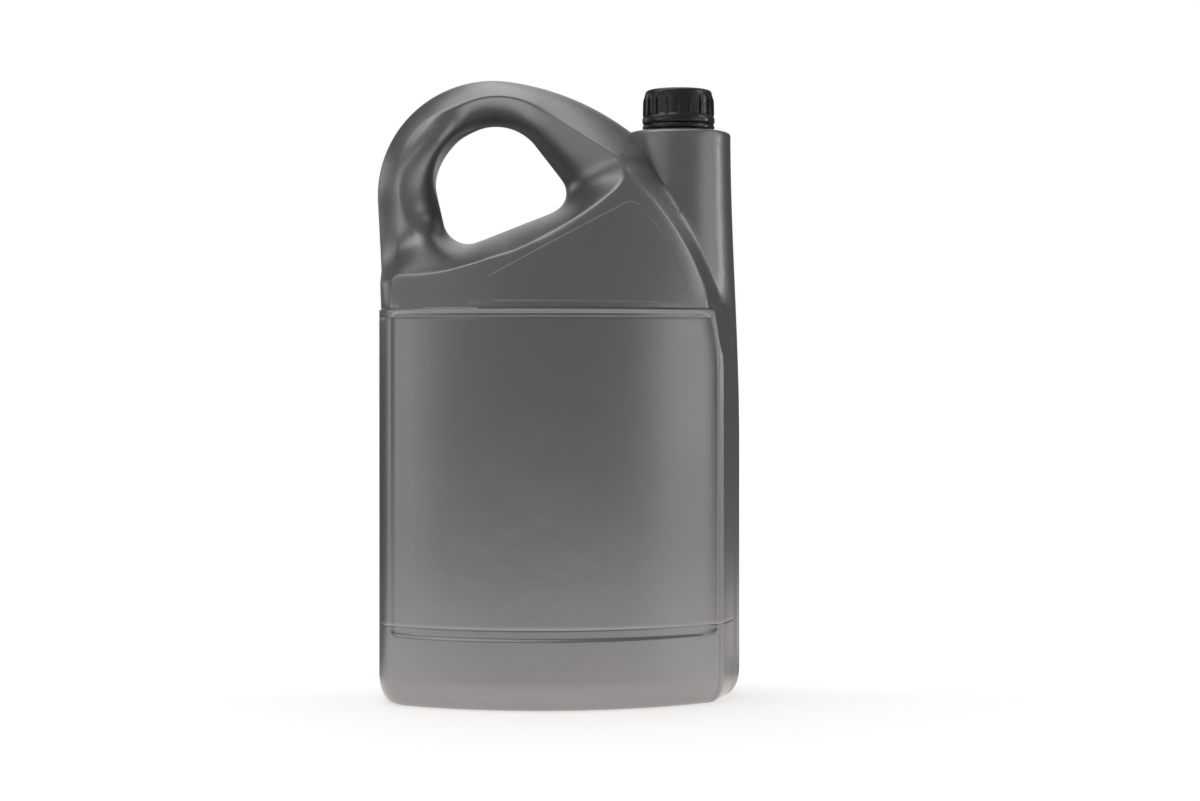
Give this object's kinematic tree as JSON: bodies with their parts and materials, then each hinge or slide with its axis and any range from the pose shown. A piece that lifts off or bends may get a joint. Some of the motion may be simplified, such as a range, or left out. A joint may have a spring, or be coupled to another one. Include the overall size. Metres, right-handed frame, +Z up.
{
  "type": "oil jug",
  "caption": "Blow-moulded oil jug with an integral handle at one top corner and a screw-capped neck at the other, for storing and pouring vacuum pump oil.",
  "frame": {"origin": "middle of the jug's box, on the surface that it stands on", "axes": "+X from the handle to the neck, +Y from the front to the back, +Z up"},
  "size_m": [0.188, 0.132, 0.318],
  "materials": {
    "jug_plastic": "satin grey polyethylene, as blown",
    "cap_plastic": "black polypropylene, as moulded",
    "liner_foam": "pale foamed sealing wad"
  },
  "bodies": {
    "jug": {"jug_body": "jug_plastic", "tamper_ring": "cap_plastic"},
    "liner": {"cap_liner": "liner_foam"},
    "cap": {"screw_cap": "cap_plastic"}
  },
  "joints": [
    {"name": "cap_lift", "type": "slide", "parent": "jug", "child": "liner", "axis": [0, 0, 1], "range_m": [0, 0.0091]},
    {"name": "cap_turn", "type": "hinge", "parent": "liner", "child": "cap", "pos_m": [0.0624, 0, 0.304], "axis": [0, 0, 1], "range_deg": [0, 810]}
  ],
  "couplings": [
    {"joint": "cap_lift", "follows": "cap_turn", "m_per_rad": 0.00063662}
  ]
}
